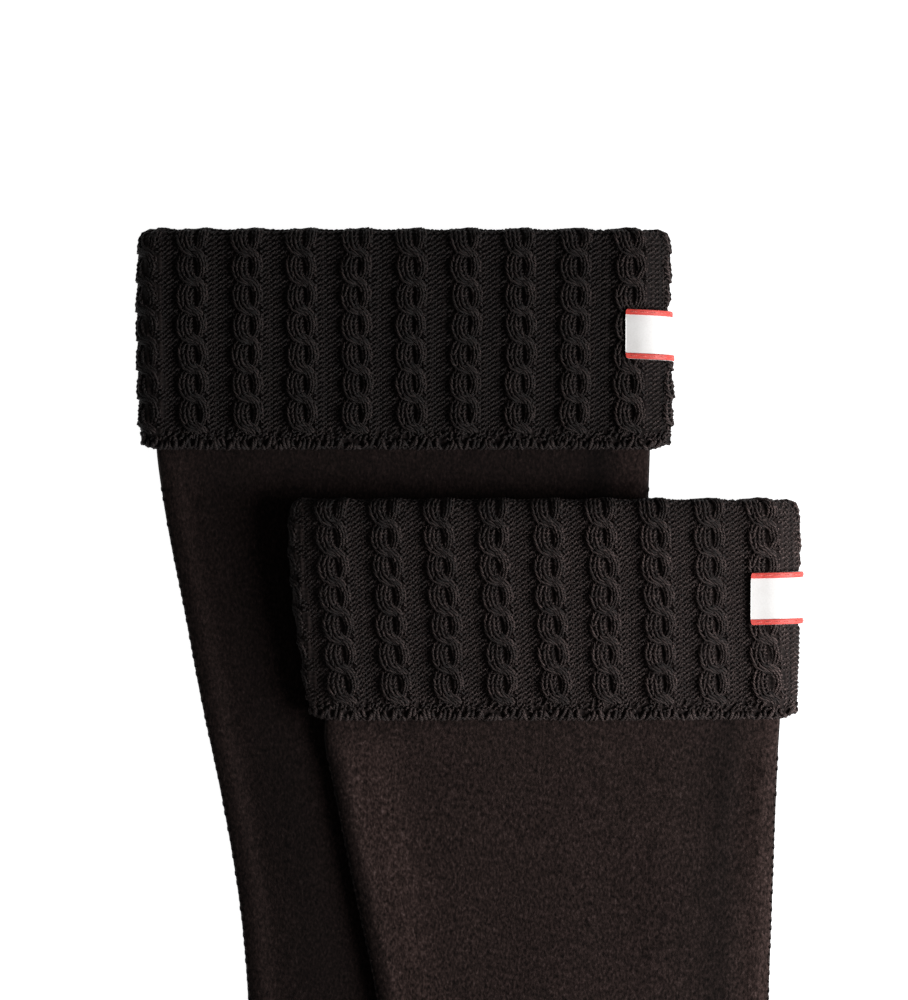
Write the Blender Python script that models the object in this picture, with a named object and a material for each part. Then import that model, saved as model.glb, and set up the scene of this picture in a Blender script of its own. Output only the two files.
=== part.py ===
"""A pair of tall fleece boot socks with turned-down cable-knit cuffs, laid flat, sock B over sock A.

Run with: blender --background --python part.py

Lengths are millimetres until make_object scales them to metres. Each sock is drawn in its own plan:
x runs from the calf (-) to the shin (+), and "down" is the distance below the fold of its cuff.
On the ground the fold is at the +Y end, the toes point to +X, and +Z is up.
"""
import math

import bpy

MM = 0.001

# ---- cloth ---------------------------------------------------------------------------------
FLEECE = 2.2            # fleece wall
KNIT = 2.2              # knit wall between the cables
KNIT_INSIDE = 1.3       # knit wall where it is sewn inside the mouth
SEAM_GAP = 0.3          # between pieces that meet
LIP = 2.0               # width of the seam faces along the panel edges
HOLLOW = 0.6            # space between the panels beside the seams
CROWN = 1.2             # more space in the middle of the leg
CROWN_REACH = 30.0      # how far from the seam the crown is full
MOUTH_HOLLOW = 4.0      # space between the panels at the mouth, where the knit goes in
MOUTH_TOP = 4.5         # the fleece's edge, below the fold
MOUTH_DEPTH = 15.0      # the end of the knit inside the mouth
MOUTH_TAPER = 56.0      # the length over which the panels come together below that
EDGE_ROUND = 2.1        # a panel rounds over this many times its half thickness

# ---- cuff ----------------------------------------------------------------------------------
CUFF_DEPTH = 80.0       # fold to cast-off edge
FOLD_TOP = 1.9          # top of the fold between the cables, which stand past it
SIDE_ROUND = 11.0       # how far in from the side the cuff starts to round away
FOLD_ROUND = 3.4        # depth of the rounded fold
OVER_FOLD = (135.0, 180.0)  # turns, in degrees from the outside, of the rows past the top of the fold
EASE = 0.5              # slack between the knit inside the mouth and the fleece's seams
SLACK = 0.55            # between the fleece and the turned-down knit
FACE_COLUMNS = 11       # cables on the upper face and round its two sides
CABLE_HALF_WIDTH = 5.2
STRAND_OFFSET = 2.4     # from a cable's middle to the middle of each strand
STRAND_HALF_WIDTH = 3.2
PINCH = 1.7             # how much narrower a cable is at a crossing
CROSSING_PITCH = 10.45
FIRST_CROSSING = 7.8    # above the cast-off edge
CROSSINGS = 7
ROWS_PER_CROSSING = 4
CREST = 2.4             # height of the strand that crosses over
BESIDE = 0.78           # share of that height where the two strands lie side by side
BELOW = 0.48            # share of it for the strand that crosses under
CABLE_START = 4.3       # above the cast-off edge, where the cables begin to rise
HEM_ROWS = (0.0, 2.8, 5.6)  # rows of the plain band along the cast-off edge
SIDE_RELIEF = 2.0       # what the cables add to the outline at the sides
FLATTEN = 1.4           # how fast the sock's weight flattens the cables that turn under
PRESSED_RELIEF = 0.4    # share of the cable height left under the label
PRESS_MARGIN = 3.0      # width of the step up beside the label

# ---- label ---------------------------------------------------------------------------------
LABEL_HEIGHT = 17.6
LABEL_WALL = 1.4
LABEL_RIM = 0.4         # how far the two edge bands stand above the field
LABEL_BAND = 2.4        # width of those bands
LABEL_UNDER = 3.2       # how far it wraps below the middle of the side
LABEL_CLEAR = 0.5       # over the pressed cables

# ---- lie -----------------------------------------------------------------------------------
SETTLE_LENGTH = 17.0    # below the cuff, where the leg comes down to the floor
DRAPE_PLATEAU = 4.0     # sock B keeps its height this far past the edge of sock A
DRAPE_LENGTH = 42.0     # and reaches the floor in this much more
DRAPE_CLEARANCE = 0.8   # between the two socks
B_OFFSET = (50.4, -96.8)  # the middle of sock B's fold, from the middle of sock A's

# Both feet: the heel and sole edge, and the shin and instep edge, from the ankle to the toe.
FOOT_ROWS = (
    # back_x, back_down, front_x, front_down
    (-57.0, 322.0, 82.2, 300.0),
    (-61.0, 345.0, 84.0, 309.5),
    (-62.0, 366.0, 88.0, 318.5),
    (-58.5, 386.0, 94.5, 326.5),
    (-49.0, 402.0, 103.0, 333.0),
    (-33.0, 412.5, 114.0, 338.0),
    (-8.0, 416.0, 127.0, 342.0),
    (28.0, 416.0, 142.0, 346.0),
    (68.0, 416.0, 156.5, 351.0),
    (108.0, 416.0, 168.5, 358.0),
    (141.0, 415.0, 177.0, 367.0),
    (164.0, 410.5, 182.0, 377.5),
    (177.0, 400.5, 184.0, 388.0),
)

SOCK_A = {
    "name": "sock_a",
    "datum": (0.0, 0.0),
    # Leg edges of the fleece.
    "leg_rows": (
        # down, calf_x, shin_x
        (MOUTH_TOP, -87.6, 88.2),
        (20.0, -88.2, 88.6),
        (50.0, -88.9, 88.8),
        (80.0, -89.0, 88.6),
        (88.0, -88.2, 88.4),
        (98.0, -86.8, 88.1),
        (116.0, -83.6, 87.7),
        (134.0, -79.9, 87.2),
        (170.0, -73.1, 86.1),
        (206.0, -65.5, 84.9),
        (242.0, -59.4, 83.7),
        (266.0, -56.9, 82.8),
        (288.0, -55.8, 82.0),
    ),
    # Outline of the knit at the sides, cables and all, the first whole cable and the spacing.
    "cuff_rows": (
        # down, left_x, right_x, cable_x, pitch
        (0.0, -95.8, 95.8, -75.6, 19.65),
        (30.0, -96.5, 95.4, -75.3, 19.60),
        (60.0, -96.1, 96.6, -75.0, 19.50),
        (80.0, -95.2, 96.0, -74.8, 19.45),
    ),
    "panel_cells": (0.2, 0.4, 0.6, 0.8),
    "under_cells": (0.0, 0.5, 1.0),
    "label_top": 28.8,
    "label_x": 79.9,
}
SOCK_B = {
    "name": "sock_b",
    "datum": B_OFFSET,
    "leg_rows": (
        (MOUTH_TOP, -84.2, 84.8),
        (20.0, -83.8, 85.2),
        (50.0, -81.6, 85.3),
        (80.0, -78.6, 85.0),
        (88.0, -78.8, 84.6),
        (98.0, -76.9, 84.2),
        (116.0, -73.3, 83.4),
        (143.0, -67.7, 82.4),
        (170.0, -61.9, 81.4),
        (197.0, -57.0, 80.5),
        (224.0, -53.6, 80.0),
        (242.0, -52.3, 79.8),
        (264.0, -51.8, 79.8),
        (286.0, -52.5, 80.4),
    ),
    "cuff_rows": (
        (0.0, -92.0, 91.6, -76.4, 19.30),
        (20.0, -92.0, 92.0, -75.4, 19.25),
        (40.0, -90.3, 92.0, -73.6, 19.11),
        (60.0, -87.4, 91.8, -72.2, 19.00),
        (80.0, -84.4, 91.0, -71.0, 18.90),
    ),
    # Closer together where the sock slopes down beside the other one.
    "panel_cells": (0.22, 0.44, 0.62, 0.70, 0.76, 0.82, 0.88, 0.94),
    "under_cells": (0.0, 0.05, 0.10, 0.15, 0.20, 0.26, 0.55, 1.0),
    "label_top": 27.0,
    "label_x": 74.2,
}

FLEECE_MATERIAL = ("fleece", (0.022, 0.016, 0.014, 1.0), 0.95)
KNIT_MATERIAL = ("cable_knit", (0.022, 0.019, 0.018, 1.0), 0.85)
LABEL_MATERIAL = ("rubber_label", (0.80, 0.78, 0.77, 1.0), 0.45)


# ---- small functions -------------------------------------------------------------------------
def smooth(t):
    """0 below 0, 1 above 1, and a soft step between."""
    t = min(1.0, max(0.0, t))
    return t * t * (3.0 - 2.0 * t)


def rise(t):
    """Height of a quarter circle over its start: 0 at 0 and 1 from 1 on."""
    t = min(1.0, max(0.0, t))
    return math.sqrt(1.0 - (1.0 - t) ** 2)


def at(rows, down):
    """The columns of a table whose first column is the distance below the fold, read at down."""
    if down <= rows[0][0]:
        return rows[0][1:]
    for low, high in zip(rows, rows[1:]):
        if down <= high[0]:
            share = (down - low[0]) / (high[0] - low[0])
            return tuple(a + (b - a) * share for a, b in zip(low[1:], high[1:]))
    return rows[-1][1:]


def distance(x, y, outline):
    """From a point to a line of joined segments."""
    nearest = 1e9
    for (ax, ay), (bx, by) in zip(outline, outline[1:]):
        ux, uy = bx - ax, by - ay
        along = ((x - ax) * ux + (y - ay) * uy) / max(ux * ux + uy * uy, 1e-12)
        along = min(1.0, max(0.0, along))
        nearest = min(nearest, math.hypot(x - ax - along * ux, y - ay - along * uy))
    return nearest


def inside(x, y, outline):
    """Whether a point is inside the shape that the line makes when its ends are joined."""
    found = False
    for (ax, ay), (bx, by) in zip(outline, outline[1:] + outline[:1]):
        if (ay > y) != (by > y) and x < ax + (y - ay) * (bx - ax) / (by - ay):
            found = not found
    return found


# ---- how a sock lies ---------------------------------------------------------------------------
def sections(sock):
    """The cross-lines of a leg and foot in its own plan: (back point, front point), mouth to toe."""
    leg = [((calf, down), (shin, down)) for down, calf, shin in sock["leg_rows"]]
    foot = [((bx, bd), (fx, fd)) for bx, bd, fx, fd in FOOT_ROWS]
    return leg + foot


def outline(sock):
    """The seam line in plan: down the calf, round the heel and the toe, and up the shin."""
    cuts = sections(sock)
    return [back for back, _ in cuts] + [front for _, front in reversed(cuts)]


def lift(down):
    """How far the fleece is off the ground, on the cuff's under layer and just below it."""
    return (KNIT + SEAM_GAP) * (1.0 - smooth((down - CUFF_DEPTH) / SETTLE_LENGTH))


def hollow(down, edge):
    """The space between the panels, from the distance below the fold and from the seam."""
    open_mouth = 1.0 - smooth((down - MOUTH_DEPTH) / MOUTH_TAPER)
    crown = CROWN * smooth(edge / CROWN_REACH) * smooth((down - CUFF_DEPTH) / CUFF_DEPTH)
    return HOLLOW + crown + (MOUTH_HOLLOW - HOLLOW) * open_mouth


def thickness(down, edge):
    return 2.0 * FLEECE + hollow(down, edge)


A_OUTLINE = outline(SOCK_A)


def ground(sock, x, down):
    """Height of what the sock lies on: the floor, or for sock B sock A and the slope beside it."""
    if sock is SOCK_A:
        return 0.0
    x += sock["datum"][0]
    down -= sock["datum"][1]
    edge = distance(x, down, A_OUTLINE)
    if inside(x, down, A_OUTLINE):
        return lift(down) + thickness(down, edge) + DRAPE_CLEARANCE
    top = lift(down) + thickness(down, 0.0) + DRAPE_CLEARANCE
    return top * (1.0 - smooth((edge - DRAPE_PLATEAU) / DRAPE_LENGTH))


def placed(sock, x, down, height):
    """A point of a sock, on what it lies on."""
    return (sock["datum"][0] + x, sock["datum"][1] - down, height + ground(sock, x, down))


# ---- fleece panels -------------------------------------------------------------------------------
EDGE_STEPS = (0.0, 0.8, 2.7, 6.6)     # from the seam, where the panel rounds over
SHORTEST_SPAN = 0.38                  # the most of a short cross-line that they take up


def across(sock, length):
    """Distances from the back edge of the points on a cross-line of this length."""
    fit = min(1.0, SHORTEST_SPAN * length / EDGE_STEPS[-1])
    near = [step * fit for step in EDGE_STEPS]
    span = length - 2.0 * near[-1]
    middle = [near[-1] + span * share for share in sock["panel_cells"]]
    return near + middle + [length - step for step in reversed(near)]


def panel_heights(down, edge, side):
    """Outer and inner face of a panel above the sock's underside. side is 1 for the face panel and
    -1 for the back panel."""
    half = thickness(down, edge) / 2.0
    seam = SEAM_GAP / 2.0
    middle = lift(down) + half
    outer = seam + (half - seam) * rise(edge / (EDGE_ROUND * half))
    inner = seam + (half - FLEECE - seam) * rise((edge - LIP) / (EDGE_ROUND * half))
    return middle + side * outer, middle + side * inner


def panel(sock, side):
    """One half of the leg and foot: a wall that curves over to a seam face at its edges."""
    edge_line = outline(sock)
    cuts = sections(sock)
    outer, inner = [], []
    for row, ((bx, bd), (fx, fd)) in enumerate(cuts):
        length = math.hypot(fx - bx, fd - bd)
        ux, ud = (fx - bx) / length, (fd - bd) / length
        # The last cross-line is the toe seam, so the inner face stops a lip short of it.
        back_off = LIP if row == len(cuts) - 1 else 0.0
        outer_row, inner_row = [], []
        for step in across(sock, length):
            x, down = bx + ux * step, bd + ud * step
            edge = distance(x, down, edge_line)
            outer_row.append(placed(sock, x, down, panel_heights(down, edge, side)[0]))
            step = LIP + step * (length - 2.0 * LIP) / length
            x, down = bx + ux * step + ud * back_off, bd + ud * step - ux * back_off
            edge = max(LIP, distance(x, down, edge_line))
            inner_row.append(placed(sock, x, down, panel_heights(down, edge, side)[1]))
        outer.append(outer_row)
        inner.append(inner_row)
    return shell(outer, inner, flip=side < 0)


def shell(outer, inner, flip=False):
    """A wall between two grids of points that match, closed along all four edges."""
    rows, columns = len(outer), len(outer[0])
    points = [p for row in outer for p in row] + [p for row in inner for p in row]

    def index(layer, row, column):
        return (layer * rows + row) * columns + column

    faces = []
    for row in range(rows - 1):
        for column in range(columns - 1):
            corners = ((row, column), (row, column + 1), (row + 1, column + 1), (row + 1, column))
            faces.append([index(0, *corner) for corner in reversed(corners)])
            faces.append([index(1, *corner) for corner in corners])
    rim = [(0, column) for column in range(columns)]
    rim += [(row, columns - 1) for row in range(1, rows)]
    rim += [(rows - 1, column) for column in range(columns - 2, -1, -1)]
    rim += [(row, 0) for row in range(rows - 2, 0, -1)]
    for here, there in zip(rim, rim[1:] + rim[:1]):
        faces.append([index(0, *here), index(0, *there), index(1, *there), index(1, *here)])
    if flip:
        faces = [face[::-1] for face in faces]
    return points, faces


# ---- the rounded outline that the knit takes round a flat sock -------------------------------------
ARC_STEPS = 24


def arc_lengths(wide, tall):
    """Lengths from the side, up a quarter ellipse, at equal turns."""
    lengths = [0.0]
    for i in range(ARC_STEPS):
        turn = (i + 0.5) * math.pi / 2.0 / ARC_STEPS
        piece = math.hypot(wide * math.sin(turn), tall * math.cos(turn))
        lengths.append(lengths[-1] + piece * math.pi / 2.0 / ARC_STEPS)
    return lengths


def arc_turn(share, wide, tall):
    """The turn up from the side at this share of the length of a quarter ellipse."""
    lengths = arc_lengths(wide, tall)
    goal = share * lengths[-1]
    for i in range(ARC_STEPS):
        if goal <= lengths[i + 1]:
            part = (goal - lengths[i]) / (lengths[i + 1] - lengths[i])
            return (i + part) * math.pi / 2.0 / ARC_STEPS
    return math.pi / 2.0


def tall_of(box):
    return (box[3] - box[2]) / 2.0


def side_length(box):
    """From where the face stops being flat to the middle of the side."""
    return arc_lengths(box[4], tall_of(box))[-1]


def station(box, s):
    """Where a distance s along the upper face from the sock's middle line falls on a flat ring that
    is given as (left, right, low, high, wide): (part of the ring, share of it). The parts are the left
    side's upper quarter, the face, the right side's two quarters, the underside and the last quarter."""
    left, right, _, _, wide = box
    if left + wide <= s <= right - wide:
        return "face", (s - left - wide) / (right - left - 2.0 * wide)
    quarter = side_length(box)
    past = (s - right + wide) / quarter if s > 0.0 else (left + wide - s) / quarter
    above, below = ("right above", "right below") if s > 0.0 else ("left above", "left below")
    if past <= 1.0:
        return above, 1.0 - past
    return below, past - 1.0


def ring_point(box, part, share):
    """The point at a station, and the outward direction there. Quarters are shared from the side's
    middle, the face from the left and the underside from the right."""
    left, right, low, high, wide = box
    tall = tall_of(box)
    middle = (high + low) / 2.0
    if part == "face":
        return left + wide + share * (right - left - 2.0 * wide), high, 0.0, 1.0
    if part == "under":
        return right - wide - share * (right - left - 2.0 * wide), low, 0.0, -1.0
    side, level = part.split()
    away = -1.0 if side == "left" else 1.0
    up = 1.0 if level == "above" else -1.0
    turn = arc_turn(share, wide, tall)
    normal_x, normal_z = away * math.cos(turn) / wide, up * math.sin(turn) / tall
    size = math.hypot(normal_x, normal_z)
    x = (left + wide if away < 0 else right - wide) + away * wide * math.cos(turn)
    return x, middle + up * tall * math.sin(turn), normal_x / size, normal_z / size


def inset(box, amount):
    left, right, low, high, wide = box
    return left + amount, right - amount, low + amount, high - amount, wide - amount


def outside_box(sock, down):
    """The knit's outer face between the cables."""
    left, right = at(sock["cuff_rows"], down)[:2]
    top = lift(down) + thickness(down, 0.0) + SLACK + KNIT
    return left + SIDE_RELIEF, right - SIDE_RELIEF, 0.0, top, SIDE_ROUND


def lining_box(sock, down):
    """The face of the turned-down knit that lies on the fleece."""
    return inset(outside_box(sock, down), KNIT)


def mouth_box(sock, down):
    """The face of the knit inside the mouth that lies against the fleece."""
    calf, shin = at(sock["leg_rows"], down)
    clear = LIP + EASE + SEAM_GAP
    half = hollow(down, 0.0) / 2.0 - SEAM_GAP
    middle = lift(down) + thickness(down, 0.0) / 2.0
    return calf + clear, shin - clear, middle - half, middle + half, EDGE_ROUND * thickness(down, 0.0) / 2.0


def between(first, second, share):
    return tuple(a + (b - a) * share for a, b in zip(first, second))


# ---- cables --------------------------------------------------------------------------------------
def phase(v):
    """Share of the way from one crossing to the next, from -0.5 to 0.5 about the nearest one."""
    turns = (v - FIRST_CROSSING) / CROSSING_PITCH
    return turns - math.floor(turns + 0.5)


def cable_width(v):
    return CABLE_HALF_WIDTH - PINCH * math.cos(math.pi * phase(v)) ** 2


def cable_height(offset, v):
    """Height of the two strands at an offset from the cable's middle. v is the distance above the
    cast-off edge. The strand on top goes from the right below a crossing to the left above it."""
    swing = math.sin(math.pi * phase(v))
    crossing = math.cos(math.pi * phase(v))
    best = 0.0
    for way, at_crossing in ((-1.0, 1.0), (1.0, BELOW)):
        top = BESIDE + (at_crossing - BESIDE) * crossing
        across_strand = (offset - way * swing * STRAND_OFFSET) / STRAND_HALF_WIDTH
        best = max(best, CREST * top * math.sqrt(max(0.0, 1.0 - across_strand * across_strand)))
    return best


def label_end(sock):
    """The distance along the face, and on round the side, to the end of the label."""
    box = outside_box(sock, sock["label_top"] + LABEL_HEIGHT / 2.0)
    return box[1] - box[4] + side_length(box) + LABEL_UNDER


def label_press(sock, s, v):
    """1 in the open, and less where the label holds the cables down."""
    low = CUFF_DEPTH - sock["label_top"] - LABEL_HEIGHT
    past = max(sock["label_x"] - s, s - label_end(sock), low - v, v - low - LABEL_HEIGHT, 0.0)
    return PRESSED_RELIEF + (1.0 - PRESSED_RELIEF) * smooth(past / PRESS_MARGIN)


# ---- cuff ----------------------------------------------------------------------------------------
def cuff_rows():
    """Distances above the cast-off edge of the rows on the outside, up to the top of the fold."""
    step = CROSSING_PITCH / ROWS_PER_CROSSING
    cabled = [FIRST_CROSSING + step * i for i in range(CROSSINGS * ROWS_PER_CROSSING + 1)]
    return list(HEM_ROWS) + cabled


def cuff_stations(sock, v):
    """The points round the cuff as (part, share, cable height): five on each cable of the face, one
    between the cables at each side, and a few on the underside."""
    box = outside_box(sock, CUFF_DEPTH - v)
    first, pitch = at(sock["cuff_rows"], CUFF_DEPTH - v)[2:]
    width = cable_width(v)
    found = []
    last = FACE_COLUMNS - 2
    for column in range(-1, last + 1):
        middle = first + column * pitch
        offsets = [-width, -STRAND_OFFSET, 0.0, STRAND_OFFSET, width]
        if column in (-1, last - 1):
            offsets.append(pitch / 2.0)
        for offset in offsets:
            height = cable_height(offset, v) if abs(offset) < width else 0.0
            height *= label_press(sock, middle + offset, v)
            found.append((*station(box, middle + offset), height))
    # Between the last cable on each side and the flat of the underside.
    found.append(("right below", 0.5 + 0.5 * found[-1][1], 0.0))
    found += [("under", share, 0.0) for share in sock["under_cells"]]
    first_share = found[0][1]
    found += [("left below", first_share + (1.0 - first_share) * part, 0.0) for part in (0.67, 0.33)]
    return found


def cuff_ring(sock, box, down, v, relief=0.0, turn=0.0):
    """Points round a box at a distance below the fold, with the stations of the row at v. The cables
    stand out by relief times their height, and turn is how far that leans over the fold."""
    ring = []
    for part, share, height in cuff_stations(sock, v):
        x, z, normal_x, normal_z = ring_point(box, part, share)
        height *= relief * (1.0 - smooth(-FLATTEN * normal_z))
        flat = height * math.cos(turn)
        ring.append(placed(sock, x + normal_x * flat, down - height * math.sin(turn), z + normal_z * flat))
    return ring


def fold(sock, turn):
    """The box and its distance below the fold at a turn over it: 0 outside and half a turn inside."""
    down = FOLD_TOP + FOLD_ROUND * (1.0 - math.sin(turn))
    return fold_box(sock, down, 0.5 + 0.5 * math.cos(turn)), down


def fold_box(sock, down, share):
    """From the knit's inner face in the mouth at 0 to its outer face at 1."""
    return between(inset(mouth_box(sock, down), KNIT_INSIDE), outside_box(sock, down), share)


def cuff(sock):
    """The knit band: up inside the mouth, over the fold and down outside to the cast-off edge."""
    straight = CUFF_DEPTH - FOLD_TOP - FOLD_ROUND
    rings = []
    for v in cuff_rows():
        relief = smooth((v - CABLE_START) / (FIRST_CROSSING - CABLE_START))
        if v <= straight:
            down = CUFF_DEPTH - v
            rings.append(cuff_ring(sock, outside_box(sock, down), down, v, relief))
        else:
            turn = min(math.pi / 2.0, (v - straight) / FOLD_ROUND)
            box, down = fold(sock, turn)
            rings.append(cuff_ring(sock, box, down, CUFF_DEPTH - down, relief, turn))
    for degrees in OVER_FOLD:
        box, down = fold(sock, math.radians(degrees))
        rings.append(cuff_ring(sock, box, down, CUFF_DEPTH))
    # Down inside the mouth, then back up along the fleece's inner side.
    rings.append(cuff_ring(sock, fold_box(sock, MOUTH_DEPTH, 0.0), MOUTH_DEPTH, CUFF_DEPTH))
    top = MOUTH_TOP - SEAM_GAP
    for down in (MOUTH_DEPTH, top):
        rings.append(cuff_ring(sock, mouth_box(sock, down), down, CUFF_DEPTH))
    # Down along the fleece's outer side, on the same rows as the fleece.
    below = [top] + [row[0] for row in sock["leg_rows"] if MOUTH_TOP < row[0] <= CUFF_DEPTH]
    for down in below:
        rings.append(cuff_ring(sock, lining_box(sock, down), down, CUFF_DEPTH - down))
    return hoop(rings)


def hoop(rings):
    """A closed band: rings joined each to the next, and the last to the first."""
    count = len(rings[0])
    points = [p for ring in rings for p in ring]
    faces = []
    for i in range(len(rings)):
        j = (i + 1) % len(rings)
        for k in range(count):
            m = (k + 1) % count
            faces.append([i * count + k, i * count + m, j * count + m, j * count + k])
    return points, faces


# ---- label ---------------------------------------------------------------------------------------
LABEL_CELLS = 12


def label(sock):
    """A tab sewn round the shin side of the cuff: the cuff's own face moved out, with raised bands
    along its upper and lower edges."""
    seat = CREST * PRESSED_RELIEF + LABEL_CLEAR
    slope = 0.3
    field = LABEL_HEIGHT - 2.0 * (LABEL_BAND + slope)
    # (distance below the label's top, share of the band's height)
    rows = ((0.0, 1.0), (LABEL_BAND, 1.0), (LABEL_BAND + slope, 0.0),
            (LABEL_BAND + slope + field / 2.0, 0.0), (LABEL_BAND + slope + field, 0.0),
            (LABEL_HEIGHT - LABEL_BAND, 1.0), (LABEL_HEIGHT, 1.0))
    start, end = sock["label_x"], label_end(sock)
    outer, inner = [], []
    for drop, band in rows:
        down = sock["label_top"] + drop
        box = outside_box(sock, down)
        outer_row, inner_row = [], []
        for i in range(LABEL_CELLS + 1):
            x, z, normal_x, normal_z = ring_point(box, *station(box, start + (end - start) * i / LABEL_CELLS))
            out = seat + LABEL_WALL + LABEL_RIM * band
            outer_row.append(placed(sock, x + normal_x * out, down, z + normal_z * out))
            inner_row.append(placed(sock, x + normal_x * seat, down, z + normal_z * seat))
        outer.append(outer_row)
        inner.append(inner_row)
    return shell(outer, inner)


# ---- objects -------------------------------------------------------------------------------------
def material(name, colour, roughness):
    made = bpy.data.materials.new(name)
    made.use_nodes = True
    surface = made.node_tree.nodes["Principled BSDF"]
    surface.inputs["Base Color"].default_value = colour
    surface.inputs["Roughness"].default_value = roughness
    made.diffuse_color = colour
    return made


def make_object(name, points, faces, shade, finish):
    mesh = bpy.data.meshes.new(name)
    mesh.from_pydata([[c * MM for c in point] for point in points], [], faces)
    mesh.materials.append(finish)
    mesh.shade_smooth()
    mesh.set_sharp_from_angle(angle=shade)
    made = bpy.data.objects.new(name, mesh)
    bpy.context.scene.collection.objects.link(made)
    return made


def centre_on_floor(made):
    """Puts the middle of the pair's bounding box over the origin. The pair already lies on z = 0."""
    corners = [v.co for obj in made for v in obj.data.vertices]
    middle = [(min(c[axis] for c in corners) + max(c[axis] for c in corners)) / 2.0 for axis in (0, 1)]
    root = bpy.data.objects.new("pair", None)
    bpy.context.scene.collection.objects.link(root)
    root.location = (-middle[0], -middle[1], 0.0)
    for obj in made:
        obj.parent = root


def main():
    for obj in list(bpy.data.objects):
        bpy.data.objects.remove(obj)
    fleece, knit, rubber = (material(*spec) for spec in (FLEECE_MATERIAL, KNIT_MATERIAL, LABEL_MATERIAL))
    crease = math.radians(40.0)
    made = []
    for sock in (SOCK_A, SOCK_B):
        name = sock["name"]
        made.append(make_object(name + "_upper_panel", *panel(sock, 1), crease, fleece))
        made.append(make_object(name + "_under_panel", *panel(sock, -1), crease, fleece))
        made.append(make_object(name + "_cuff", *cuff(sock), crease, knit))
        made.append(make_object(name + "_label", *label(sock), crease, rubber))
    centre_on_floor(made)


main()
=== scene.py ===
"""The pair of boot socks as it looks: fleece legs, cable-knit cuffs made stitch by stitch, rubber labels.

Lengths are millimetres in each sock's own plan, as in the part: x from the calf (-) to the shin (+), and
"down" the distance below the fold of its cuff. A place on the knit is s along the face from the middle
line and on round the sides, v up from the cast-off edge and on over the fold, and h out from the wall.
world() turns a plan's places into metres in the frame.
"""
from math import ceil, pi
from types import SimpleNamespace

import bpy
import numpy as np
from numpy import (arange, array, clip, cos, cumsum, exp, floor, hypot, interp, linspace, maximum, meshgrid,
                   minimum, sin, sqrt, stack, vstack, where)
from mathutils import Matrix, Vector

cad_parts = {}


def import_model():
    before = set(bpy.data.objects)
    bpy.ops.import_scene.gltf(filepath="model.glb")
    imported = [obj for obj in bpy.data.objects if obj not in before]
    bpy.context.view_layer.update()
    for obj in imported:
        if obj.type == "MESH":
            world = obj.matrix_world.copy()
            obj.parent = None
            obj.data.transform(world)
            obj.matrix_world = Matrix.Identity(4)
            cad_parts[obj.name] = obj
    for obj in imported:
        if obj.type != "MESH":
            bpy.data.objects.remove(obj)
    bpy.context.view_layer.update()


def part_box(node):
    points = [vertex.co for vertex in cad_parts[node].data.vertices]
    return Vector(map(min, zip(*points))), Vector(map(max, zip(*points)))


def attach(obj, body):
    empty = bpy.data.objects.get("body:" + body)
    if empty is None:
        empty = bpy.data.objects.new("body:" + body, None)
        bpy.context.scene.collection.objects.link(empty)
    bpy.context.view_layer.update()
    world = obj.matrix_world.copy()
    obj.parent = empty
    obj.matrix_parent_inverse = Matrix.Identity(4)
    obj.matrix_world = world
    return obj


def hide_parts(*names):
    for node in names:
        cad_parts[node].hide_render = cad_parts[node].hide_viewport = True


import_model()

METRE = 1000  # millimetres

# ---- sizes shared with the part, whose source says what each one is ----
FLEECE, KNIT, KNIT_INSIDE = 2.2, 2.2, 1.3
SEAM_GAP, LIP, EDGE_ROUND = 0.3, 2, 2.1
HOLLOW, MOUTH_HOLLOW = 0.6, 4
CROWN, CROWN_REACH = 1.2, 30
MOUTH_TOP, MOUTH_DEPTH, MOUTH_TAPER = 4.5, 15, 56
CUFF_DEPTH = 80
FOLD_TOP, FOLD_ROUND = 1.9, 3.4
SIDE_ROUND, SIDE_RELIEF = 11, 2
EASE, SLACK = 0.5, 0.55
CREST = 2.4
CROSSING_PITCH, FIRST_CROSSING = 10.45, 7.8
FLATTEN = 1.4
PRESSED_RELIEF, PRESS_MARGIN = 0.4, 3
LABEL_HEIGHT, LABEL_WALL, LABEL_RIM = 17.6, 1.4, 0.4
LABEL_UNDER, LABEL_CLEAR = 3.2, 0.5
SETTLE_LENGTH = 17
DRAPE_PLATEAU, DRAPE_LENGTH, DRAPE_CLEARANCE = 4, 42, 0.8
B_OFFSET = (50.4, -96.8)

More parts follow.
